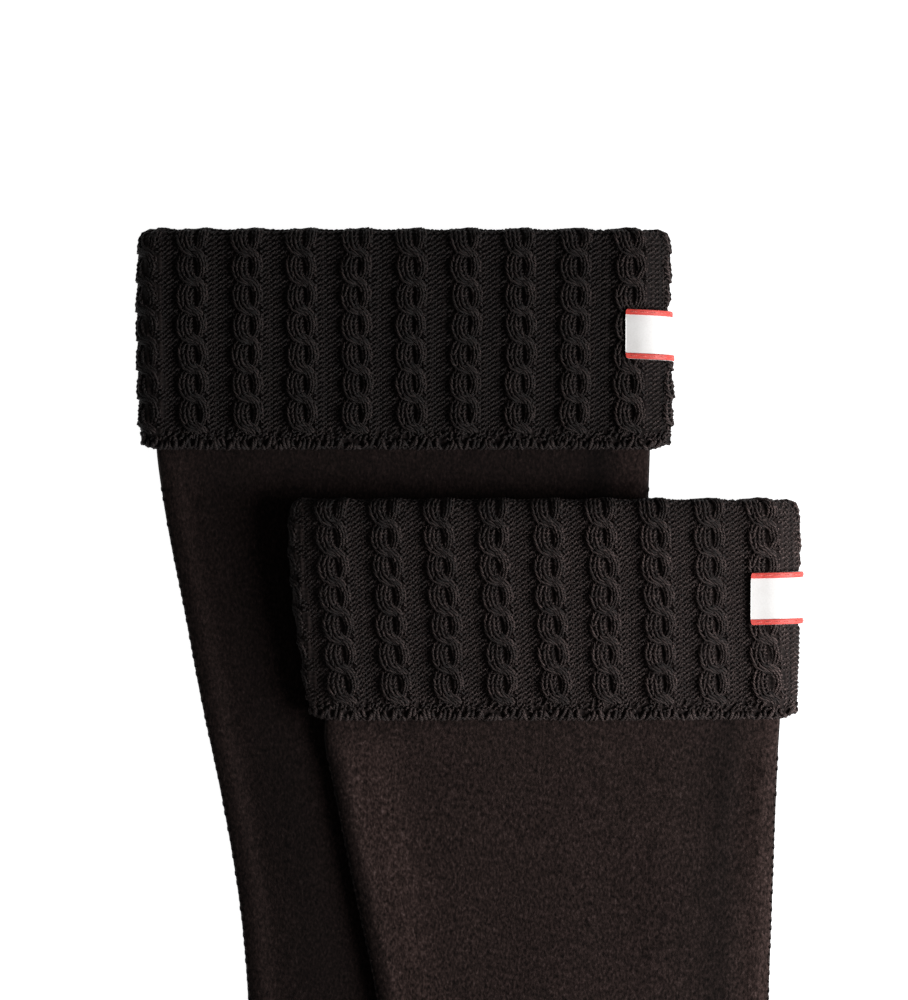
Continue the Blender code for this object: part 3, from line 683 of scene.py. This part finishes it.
def yarn_piece(sock, what, make, sides, material):
    centre, out, radius, tone = make(sock)
    yarn = centre, out, radius, tone * yarn_painted_light(sock, centre)
    return tube_piece(f"{sock.name}_{what}", yarn, sides, material)


WALL_COLUMNS = 320
CABLE_FILL = 0.55  # height of the wall under a cable
STRAND_HALF, STRAND_FALL = 2.4, 0.9  # half the width that is filled under a strand, and how it falls away
SIDE_FROM, SIDE_OVER = 1.5, 5  # where that starts at the sides


def filling(sock, s, v, h):
    """How far the wall behind the stitches fills the cables and the slopes beside them."""
    if h < 0:
        return 0 * s
    first, pitch = columns(sock.cuff_rows, max(CUFF_DEPTH - v, 0), 3, 4)
    number = floor((s - first + CABLE_HALF) / pitch)
    middle = column_middle(sock, number, v)
    pitch = column_middle(sock, number + 1, v) - middle
    from_cable = s - middle
    under_cable = CABLE_FILL * sqrt(maximum(0, 1 - (from_cable / CABLE_HALF) ** 2))
    share = clip((from_cable - GROUND_LEFT) / (pitch - GROUND_LEFT - GROUND_RIGHT), 0, 1)
    on_ground = from_cable > GROUND_LEFT - 0.6
    # Seen edge on, along both sides of the cuff, the strands are filled almost to their tops.
    outside_v = min(v, STRAIGHT)
    side = smooth((past_face(sock, s, CUFF_DEPTH - outside_v) + SIDE_FROM) / SIDE_OVER)
    strands = 0 * s
    for way in (-1, 1):
        offset, height = strand_path(way, outside_v)
        x = maximum(abs(from_cable - offset - 0.3) - STRAND_HALF, 0)
        strands = maximum(strands, height + STRAND_PROUD - 1.6 * CABLE_YARN - STRAND_FALL * x * x)
    under_cable = maximum(under_cable, side * strands)
    beside = valley(share) - 0.1 - 0.15 * abs(valley(share)) + 0.25 * side
    either = maximum(under_cable, where(on_ground, beside, 0))
    return WALL_RISE + where(on_ground & (under_cable < 0.05), beside, either) * relief(sock, s, v)


def knit_wall(sock, material):
    """The wall behind the stitches, as a closed band: up outside from the cast-off edge, over the fold
    and down into the mouth, and back on its inner side."""
    around = linspace(0, 1, WALL_COLUMNS + 1)[:-1]
    fold_v = np.r_[STRAIGHT + OVER * linspace(0.1, 1, 9),
                   STRAIGHT + OVER + linspace(1.5, MOUTH_DEPTH - FOLD_TOP - FOLD_ROUND, 4)]
    outer_v = np.r_[linspace(0, STRAIGHT, 46), fold_v]
    inner_v = np.r_[linspace(0, STRAIGHT, 12), fold_v][::-1]
    inner = [(v, -(KNIT if v < STRAIGHT + OVER else KNIT_INSIDE)) for v in inner_v]
    rows = []
    for v, h in [(v, 0) for v in outer_v] + inner:
        left, right, low, high, wide = outside_box(sock, CUFF_DEPTH - min(v, STRAIGHT))
        side = quarter(wide, (high - low) / 2)
        flat_l, flat_r = left + wide, right - wide
        under = flat_r - flat_l
        # The face and both sides are one run of s. The underside joins its ends, on what it lies on.
        face_run = under + 4 * side
        along = around * (face_run + under)
        on_top = along <= face_run
        s = where(on_top, flat_l - 2 * side + along, 0)
        point = knit_surface(sock, s, v, h + filling(sock, s, v, h) * on_top)[0]
        ends = array([flat_r + 2 * side - 1e-3, flat_l - 2 * side + 1e-3])
        a, b = knit_surface(sock, ends, v, h)[0]
        line = a + clip((along - face_run) / under, 0, 1)[:, None] * (b - a)
        x = line[:, 0] * METRE - ORIGIN[0] - sock.datum[0]
        below = ground(sock, x, ORIGIN[1] + sock.datum[1] - line[:, 1] * METRE)
        line[:, 2] = (a[2] * METRE - below[~on_top][0] + below) / METRE
        rows.append(where(on_top[:, None], point, line))
    quads = grid_quads(len(rows), len(around), wrap=True, close=True)[:, ::-1]
    return make_piece(f"{sock.name}_knit_wall", rows, quads, material)


# ---- the fleece ----
HEM = 4  # turnings past the seam line, in the cut
TURNED_HIGH, TURNED_IN, TURNED_HALF = 0.45, 5.2, 2.2  # the ridge over the seam's turnings
BESIDE_LOW, BESIDE_IN, BESIDE_HALF = 0.35, 10.5, 3.2  # the faint trough beside it
PANEL_STEPS, PANEL_CELLS = {1: 5, -1: 3}, {1: 84, -1: 44}  # of the upper and the under panel
EVEN_SHARE, WAVE_SHARE = 0.45, 0.55  # the cells are smaller towards both edges
CUFF_CLEAR, CUFF_FREE = 4, 14  # below the cuff the fleece lies plain, and then no more


def soft_relief(sock, x, down, edge):
    """The nap's own low relief: along the edges, a slow wave, and the sock's soft troughs."""
    ridge = TURNED_HIGH * bell(edge, TURNED_IN, TURNED_HALF) - BESIDE_LOW * bell(edge, BESIDE_IN, BESIDE_HALF)
    wave = 0.16 * sin(x / 17 + 1.3) * sin(down / 31 + 0.4) + 0.1 * sin(x / 9 - down / 14)
    relief = ridge + wave * smooth(edge / 12)
    for (ax, ay), (bx, by), depth, wide in sock.troughs:
        ux, uy = bx - ax, by - ay
        t = ((x - ax) * ux + (down - ay) * uy) / (ux * ux + uy * uy)
        reach = clip(t, 0, 1)
        away = hypot(x - ax - reach * ux, down - ay - reach * uy)
        ends = smooth((1.12 - abs(2 * t - 1)) / 0.5)
        # Each trough has a lower ridge beside it.
        relief = relief - depth * bell(away, 0, wide) * ends
        relief = relief + 0.6 * depth * bell(away, 1.9 * wide, wide) * ends
    return relief * smooth(edge / 2.5)


def panel_faces(down, edge, side, relief=0):
    """Heights of a panel's outer and inner face."""
    half = thickness(down, edge) / 2
    seam = SEAM_GAP / 2
    middle = lift(down) + half
    outer = seam + (half - seam) * rise(edge / (EDGE_ROUND * half)) + relief
    inner = seam + (half - FLEECE - seam) * rise((edge - LIP) / (EDGE_ROUND * half))
    return middle + side * outer, middle + side * inner


def bands(edge, rows):
    return sum(amount * bell(edge, middle, half) for middle, half, amount in rows)


def nap_painted_light(sock, down, from_calf, from_shin):
    """Painted light and shade on the nap, in bands. The bands end at the ankle, and at sock A's shin where
    sock B covers it.
    """
    calf, shin = (bands(edge, rows) for edge, rows in zip((from_calf, from_shin), sock.painted_nap_bands))
    if sock is SOCK_A:
        shin = shin * (1 - smooth((down - 100) / 25))
    else:
        calf = calf * smooth((down - 80) / 14)
    return 1 + (calf + shin) * (1 - smooth((down - 300) / 50))


def fleece_panel(sock, side, material):
    """One half of the leg and foot, as a closed wall that curves over to a seam face at its edges, and
    its flat size and area."""
    upper = side > 0
    lines = cross_lines(sock, PANEL_STEPS[side])
    seam = seam_line(sock)
    even = linspace(-1, 1, PANEL_CELLS[side] + 1)
    share = 0.5 + 0.5 * (EVEN_SHARE * even + WAVE_SHARE * sin(even * pi / 2))
    back, front = lines[:, None, :2], lines[:, None, 2:]
    length = np.linalg.norm(front - back, axis=-1, keepdims=True)
    along = (front - back) / length
    place = back + share[None, :, None] * (front - back)
    x, down = place[..., 0], place[..., 1]
    edge = distance(x, down, seam)
    if upper:
        free = smooth((down - CUFF_DEPTH - CUFF_CLEAR) / CUFF_FREE)
        outer = panel_faces(down, edge, side, free * soft_relief(sock, x, down, edge))[0]
        wide = share[None, :] * length[..., 0]
        # The upper panel's tone is painted light and shade on the nap.
        tone = nap_painted_light(sock, down, wide, length[..., 0] - wide)
    else:
        outer = maximum(panel_faces(down, edge, side)[0], 0)
        tone = np.ones_like(x)
    outer_points = world(sock, x, down, outer)
    # The inner face is set in by the seam's width, at the toe too.
    place = back + along * (LIP + share[None, :, None] * (length - 2 * LIP))
    place[-1] += array([along[-1, 0, 1], -along[-1, 0, 0]]) * LIP
    x, down = place[..., 0], place[..., 1]
    inner_points = world(sock, x, down, panel_faces(down, maximum(LIP, distance(x, down, seam)), side)[1])
    rows, columns = outer.shape
    grid = grid_quads(rows, columns)
    rim = np.r_[arange(columns), arange(1, rows) * columns + columns - 1,
                (rows - 1) * columns + arange(columns - 2, -1, -1), arange(rows - 2, 0, -1) * columns]
    after = np.roll(rim, -1)
    size = rows * columns
    quads = vstack([grid[:, ::-1], grid + size, stack([rim, after, after + size, rim + size], axis=-1)])
    which = "upper" if upper else "under"
    made = make_piece(f"{sock.name}_{which}_fleece", stack([outer_points, inner_points]),
                      quads if upper else quads[:, ::-1], material, stack([tone, tone]))
    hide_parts(f"{sock.name}_{which}_panel")
    x, y = seam_line(sock, PANEL_STEPS[side]).T / METRE
    area = 0.5 * abs(float(np.dot(x, np.roll(y, -1)) - np.dot(y, np.roll(x, -1))))
    flat = tuple(round(float(np.ptp(c)) + 2 * HEM / METRE, 4) for c in (x, y))
    return made, flat, area


HUMP_FROM, HUMP_TO, HUMP_PITCH = 90, 2.5, 3.2  # along the edge: from the mouth, from the toe, apart
HUMP_LONG, HUMP_TURN, HUMP_YARN = 1.6, 2.3, 0.46


def seam_yarn(sock):
    """The overlock's small humps along both long seams, where the two panels meet."""
    lines = cross_lines(sock)
    t = span(6)
    both = []
    for edge_points, away in ((lines[:, :2], -1), (lines[:, 2:], 1)):
        step = np.r_[0, cumsum(np.linalg.norm(np.diff(edge_points, axis=0), axis=1))]
        reach = arange(HUMP_FROM, step[-1] - HUMP_TO, HUMP_PITCH)[:, None]
        k = arange(len(reach))[:, None]
        at = reach + HUMP_LONG * (t - 0.5) + uneven(0.7, k, 1)
        here, ahead = (stack([interp(place, step, c) for c in edge_points.T], axis=-1)
                       for place in (at, at + 0.5))
        tangent = ahead - here
        tangent /= np.linalg.norm(tangent, axis=-1, keepdims=True)
        normal = stack([tangent[..., 1], -tangent[..., 0]], axis=-1) * away
        turn = np.broadcast_to((t - 0.5) * HUMP_TURN, at.shape)
        rim = 0.26 * cos(turn) * (0.3 + 1.2 * noise(k, 6)) - 0.52
        down = here[..., 1]
        high = lift(down) + thickness(down, 0) / 2 + 1.6 * sin(turn)
        centre = world(sock, here[..., 0] + normal[..., 0] * rim, down + normal[..., 1] * rim, high)
        out = stack([normal[..., 0] * cos(turn), -normal[..., 1] * cos(turn), sin(turn)], axis=-1)
        both.append((centre, out, 0.7 + 0.6 * noise(k, 8)))
    centre, out, tone = (np.concatenate(parts) for parts in zip(*both))
    return centre, out, HUMP_YARN, tone


# ---- the label ----
SEAT = CREST * PRESSED_RELIEF + LABEL_CLEAR
LABEL_TOP = SEAT + LABEL_WALL
CORNER, SOFT_EDGE = 1.2, 0.35  # radii of its corners and of its edges
BAR, BAR_IN, BAR_DEEP = 2.05, 0.05, 0.5  # width of the two bars, how far in they start, how deep they sit
STITCH_YARN, STITCH_LONG, STITCH_PITCH, STITCH_IN = 0.19, 2.1, 3.1, 2


def label_place(sock):
    """Where a label starts and ends round the side, and its lower and upper edge before it lies askew."""
    high = CUFF_DEPTH - sock.label_top
    return sock.label_x - 0.5, label_end(sock), high - LABEL_HEIGHT - sock.label_taller, high


def askew(sock, reach):
    """How far up the cuff a label sewn on askew lies, by the share of its length."""
    return sock.label_tilt * (reach - sock.label_pivot) - sock.label_lower


def label_strip(sock, what, low_v, high_v, inner_h, outer_h, inset, material):
    """A strip round the shin side with soft edges: its section is a rounded rectangle."""
    start, end, label_low, label_high = label_place(sock)
    start, end = start + inset, end - inset
    soft = min(SOFT_EDGE, (high_v - low_v) / 4, (outer_h - inner_h) / 2)
    turns = linspace(0, pi / 2, 4)
    corner = [(soft * (1 - cos(a)), soft * (1 - sin(a))) for a in turns]
    section = [(low_v, inner_h)] + [(low_v + c, outer_h - s) for c, s in corner]
    section += [(v, outer_h) for v in linspace(low_v + soft, high_v - soft, 10)[1:-1]]
    section += [(high_v - s, outer_h - c) for c, s in corner] + [(high_v, inner_h)]
    rows = []
    for v, h in section:
        # Near the label's own lower and upper edge the strip is shorter, which rounds the corners.
        from_edge = min(v - label_low, label_high - v)
        cut = CORNER - sqrt(max(0, CORNER ** 2 - max(0, CORNER - from_edge) ** 2))
        s = (start + cut) + linspace(0, 1, 49) * (end - start - 2 * cut)
        rows.append(knit_surface(sock, s, v + askew(sock, (s - start) / (end - start)), h)[0])
    points = array(rows)
    count, columns = points.shape[:2]
    # The front, the back from its first row to its last, and both ends across the section.
    j, last = arange(columns - 1), (count - 1) * columns
    quads = [grid_quads(count, columns)[:, ::-1],
             stack([j, j + 1, last + j + 1, last + j], axis=-1)[:, ::-1]]
    i = arange(count // 2 - 1)
    across = stack([i, i + 1, count - 2 - i, count - 1 - i], axis=-1) * columns
    quads += [across, (across + columns - 1)[:, ::-1]]
    return make_piece(f"{sock.name}_label_{what}", points, vstack(quads), material)


def labels(sock, white, red, thread):
    """A label's body, its two bars, and a running stitch along the middle of each."""
    start, end, low, high = label_place(sock)
    body = label_strip(sock, "body", low, high, SEAT, LABEL_TOP, 0, white)
    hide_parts(f"{sock.name}_label")
    made = [body]
    for what, v0, v1 in (("lower_bar", low + BAR_IN, low + BAR), ("upper_bar", high - BAR, high - BAR_IN)):
        made.append(label_strip(sock, what, v0, v1, LABEL_TOP - BAR_DEEP, LABEL_TOP + LABEL_RIM, BAR_IN, red))
    starts = arange(start + STITCH_IN, end - STITCH_IN, STITCH_PITCH)
    v, s = every((low + BAR * 0.5, high - BAR * 0.5), starts)
    t = span(7)
    s = s + t * STITCH_LONG
    h = LABEL_TOP + LABEL_RIM - 0.05 + 0.16 * sin(pi * t)
    centre, out = knit_surface(sock, s, v + askew(sock, (s - start) / (end - start)), h)
    yarn = centre, out, STITCH_YARN, None
    return made + [tube_piece(f"{sock.name}_label_stitching", yarn, 6, thread)]


# ---- materials ----
class Nodes:
    """A new material and short ways to add nodes to it."""

    def __init__(self, name):
        self.material = bpy.data.materials.new(name)
        self.material.use_nodes = True
        self.tree = self.material.node_tree
        self.surface = self.tree.nodes["Principled BSDF"]
        self.place = self.add("ShaderNodeTexCoord", {}).outputs["Object"]

    def put(self, node, inputs):
        """Links or sets a node's inputs."""
        for key, value in inputs.items():
            if isinstance(value, bpy.types.NodeSocket):
                self.tree.links.new(value, node.inputs[key])
            else:
                node.inputs[key].default_value = value
        return node

    def add(self, kind, inputs, **settings):
        node = self.tree.nodes.new(kind)
        for key, value in settings.items():
            setattr(node, key, value)
        return self.put(node, inputs)

    def stretched(self, along, turn=0):
        inputs = {"Vector": self.place, "Scale": (1, along, 1), "Rotation": (0, 0, turn)}
        return self.add("ShaderNodeMapping", inputs).outputs[0]

    def noise(self, scale, detail, roughness, distortion=0, vector=None):
        inputs = {"Vector": vector or self.place, "Scale": scale, "Detail": detail, "Roughness": roughness,
                  "Distortion": distortion}
        return self.add("ShaderNodeTexNoise", inputs).outputs["Fac"]

    def wave(self, direction, scale, distortion, detail):
        inputs = {"Vector": self.place, "Scale": scale, "Distortion": distortion, "Detail": detail}
        return self.add("ShaderNodeTexWave", inputs, bands_direction=direction).outputs["Fac"]

    def ramp(self, value, *stops):
        node = self.add("ShaderNodeValToRGB", {"Fac": value})
        ramp = node.color_ramp
        while len(ramp.elements) < len(stops):
            ramp.elements.new(0.5)
        for element, stop in zip(ramp.elements, stops):
            element.position, element.color = stop
        return node.outputs["Color"]

    def maths(self, operation, first, second):
        return self.add("ShaderNodeMath", {0: first, 1: second}, operation=operation).outputs[0]

    def total(self, *terms):
        """The sum of values times their weights."""
        first, *others = (self.maths("MULTIPLY", value, weight) for value, weight in terms)
        for other in others:
            first = self.maths("ADD", first, other)
        return first

    def multiply(self, share, first, second):
        """Two colours multiplied: 0 is the share, 6 and 7 are the colours."""
        inputs = {0: share, 6: first, 7: second}
        return self.add("ShaderNodeMix", inputs, data_type="RGBA", blend_type="MULTIPLY").outputs[2]

    def toned(self, colour):
        """A colour times the tone that the mesh gives each of its points, with painted light and shade in it.
        """
        strand = self.add("ShaderNodeAttribute", {}, attribute_name="strand").outputs["Color"]
        return self.multiply(1, colour, strand)

    def finish(self, colour, roughness, specular, bump=None, sheen=()):
        """The material. bump is a height, a strength and a distance, sheen a weight and a roughness."""
        inputs = {"Base Color": colour, "Roughness": roughness, "Specular IOR Level": specular,
                  **dict(zip(("Sheen Weight", "Sheen Roughness"), sheen))}
        if bump:
            node = self.add("ShaderNodeBump", dict(zip(("Height", "Strength", "Distance"), bump)))
            inputs["Normal"] = node.outputs[0]
        self.put(self.surface, inputs)
        return self.material


def grey(level, red=1, blue=1):
    return (level * red, level, level * blue, 1)


def fleece_material(name, level, red, spread):
    """Brushed pile: short strokes down the leg, clumps, and fine fuzz in the bump."""
    n = Nodes(name)
    strokes = n.noise(1150, 3, 0.6, 0.3, n.stretched(0.58, 0.15))
    clumps = n.noise(260, 2, 0.5, 0, n.stretched(0.7))
    patches = n.noise(22, 2, 0.5)
    fuzz = n.noise(3600, 2, 0.6)
    colour = n.ramp(n.total((strokes, 0.86), (clumps, 0.06), (patches, 0.08)),
                    (0.5 - 0.13 * spread, grey(0.22 * level, red, 0.86)),
                    (0.5, grey(0.95 * level, red, 0.88)),
                    (0.5 + 0.1 * spread, grey(1.9 * level, red, 0.9)),
                    (0.5 + 0.17 * spread, grey(3.8 * level, 0.9 * red, 0.93)))
    rough = n.ramp(strokes, (0.3, grey(0.98)), (0.7, grey(0.88)))
    height = n.total((strokes, 0.7), (fuzz, 0.3))
    return n.finish(n.toned(colour), rough, 0.08, (height, 0.6, 0.0006), (0.03, 0.5))


def yarn_material(name, level, red, blue):
    """Yarn: each row's own tone, the plies' twist and a little fuzz."""
    n = Nodes(name)
    plies = n.wave("DIAGONAL", 620, 3, 2)
    fuzz = n.noise(2000, 3, 0.6)
    patches = n.ramp(n.noise(60, 2, 0.5), (0.3, grey(0.75)), (0.7, grey(1)))
    colour = n.ramp(n.total((plies, 0.4), (fuzz, 0.6)), (0.3, grey(0.3 * level, red, blue)),
                    (0.5, grey(0.9 * level, red, blue)), (0.7, grey(2.5 * level, red, blue)))
    colour = n.multiply(0.5, n.toned(colour), patches)
    height = n.total((plies, 0.6), (fuzz, 0.4))
    return n.finish(colour, 0.72, 0.18, (height, 0.5, 0.00025), (0.03, 0.4))


def wall_material(name, level, red, blue):
    """The knit behind the stitches and inside the mouth: plain ribs of small loops, its level set darker as
    painted shade.
    """
    n = Nodes(name)
    ribs, loops = n.wave("X", 130, 0.6, 1), n.wave("Y", 180, 0.8, 1)
    fuzz = n.noise(2200, 2, 0.6)
    mesh = n.total((ribs, 0.5), (loops, 0.35), (fuzz, 0.15))
    colour = n.ramp(mesh, (0.2, grey(0.35 * level, red, blue)), (0.8, grey(1.1 * level, red, blue)))
    return n.finish(colour, 0.85, 0.1, (mesh, 0.9, 0.0006), (0.02,))


def rubber_material(name, base, dark):
    n = Nodes(name)
    grain = n.noise(1900, 3, 0.55)
    wear = n.noise(160, 3, 0.6)
    colour = n.ramp(n.total((grain, 0.5), (wear, 0.5)), (0.3, dark), (0.6, base))
    rough = n.ramp(wear, (0.3, grey(0.42)), (0.7, grey(0.58)))
    return n.finish(colour, rough, 0.4, (grain, 0.15, 0.0001))


def thread_material(name, base, dark):
    n = Nodes(name)
    twist = n.wave("DIAGONAL", 900, 1, 1)
    return n.finish(n.ramp(twist, (0.2, dark), (0.8, base)), 0.6, 0.3, (twist, 0.4, 0.0001))


def floor_material():
    """Paper that gives back the white of the photograph's ground."""
    n = Nodes("floor_paper")
    cloud = n.noise(3, 2, 0.5)
    made = n.finish(n.ramp(cloud, (0.3, grey(0.44)), (0.7, grey(0.46))), 0.9, 0.1)
    n.put(n.surface, {"Emission Color": grey(1), "Emission Strength": FLOOR_GLOW})
    return made


# ---- everything together ----
# The knit wall's yarn is painted darker than the stitches' yarn, as shade.
YARN_BLUE, WALL_PAINTED_SHADE = 0.93, 0.85
SEAM_LIGHTER, SEAM_RED, SEAM_BLUE = 1.2, 1.5, 0.9
FLOOR_GLOW, FLOOR_HALF = 0.965, 3
KNIT_PIECES = (("cables", cable_yarn, 5), ("ground_rows", purl_yarn, 5), ("cast_off", hem_yarn, 6),
               ("edge_chain", edge_chain, 5))  # what each is called, made by, and its yarn's sides

white = rubber_material("label_white", (0.7, 0.688, 0.68, 1), (0.62, 0.603, 0.59, 1))
red = rubber_material("label_red", (0.64, 0.06, 0.045, 1), (0.44, 0.03, 0.022, 1))
thread = thread_material("label_thread", (0.8, 0.2, 0.17, 1), (0.45, 0.06, 0.05, 1))
for sock in (SOCK_A, SOCK_B):
    name, fleece_level, (yarn_level, yarn_red) = sock.name, sock.fleece_look[0], sock.yarn_look
    nap = fleece_material(f"{name}_fleece_nap", *sock.fleece_look)
    yarn = yarn_material(f"{name}_knit_yarn", yarn_level, yarn_red, YARN_BLUE)
    ground_knit = wall_material(f"{name}_knit_ground", yarn_level * WALL_PAINTED_SHADE, yarn_red, YARN_BLUE)
    overlock = yarn_material(f"{name}_seam_yarn", fleece_level * SEAM_LIGHTER, SEAM_RED, SEAM_BLUE)
    upper, upper_flat, upper_area = fleece_panel(sock, 1, nap)
    under, under_flat, under_area = fleece_panel(sock, -1, nap)
    seam = tube_piece(f"{name}_seam_stitches", seam_yarn(sock), 6, overlock)
    wall = knit_wall(sock, ground_knit)
    stitches = [yarn_piece(sock, what, make, sides, yarn) for what, make, sides in KNIT_PIECES]
    badge = labels(sock, white, red, thread)
    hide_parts(f"{name}_cuff")

corners = FLOOR_HALF * array([(-1, -1, 0), (1, -1, 0), (1, 1, 0), (-1, 1, 0)])
make_mesh("floor", corners, arange(4), floor_material())

# ---- the camera, straight above on the photograph's scale, and the lights round it ----
IMAGE = (908, 1000)
PX_PER_MM = 2.77
A_MIDDLE_PX, FOLD_PX = 404, 228  # where sock A's datum is in the photograph
CAMERA_HEIGHT = 1.6
LIGHTS = (
    # name, place from the middle of the view, size, watts
    ("key", (0.74, -0.22, 0.485), (0.5, 0.52), 13.4), ("overhead", (0.1, 0.1, 1.6), (1.6, 1.6), 1.5),
)
SKY = 0.07

across, down = (IMAGE[0] / 2 - A_MIDDLE_PX) / PX_PER_MM, (IMAGE[1] / 2 - FOLD_PX) / PX_PER_MM
cx, cy = (across + ORIGIN[0]) / METRE, (ORIGIN[1] - down) / METRE
for name, (dx, dy, height), size, watts in LIGHTS:
    light = bpy.data.lights.new(name, "AREA")
    light.shape = "RECTANGLE"
    light.size, light.size_y = size
    light.energy = watts
    made = bpy.data.objects.new(name, light)
    made.location = (cx + dx, cy + dy, height)
    towards = Vector((cx, cy, 0)) - Vector((cx + dx, cy + dy, height))
    made.rotation_euler = towards.to_track_quat("-Z", "Y").to_euler()
    bpy.context.scene.collection.objects.link(made)
sky = bpy.data.worlds.new("studio")
sky.use_nodes = True
background = sky.node_tree.nodes["Background"].inputs
background["Color"].default_value, background["Strength"].default_value = grey(1), SKY
bpy.context.scene.world = sky

camera = bpy.data.cameras.new("camera")
camera.sensor_fit = "VERTICAL"
camera.sensor_height = 24
camera.lens = camera.sensor_height * CAMERA_HEIGHT / (IMAGE[1] / PX_PER_MM / METRE)
camera.clip_end = 20
view = bpy.data.objects.new("camera", camera)
view.location = (cx, cy, CAMERA_HEIGHT)
bpy.context.scene.collection.objects.link(view)
bpy.context.scene.camera = view
bpy.context.scene.view_settings.view_transform = "Standard"
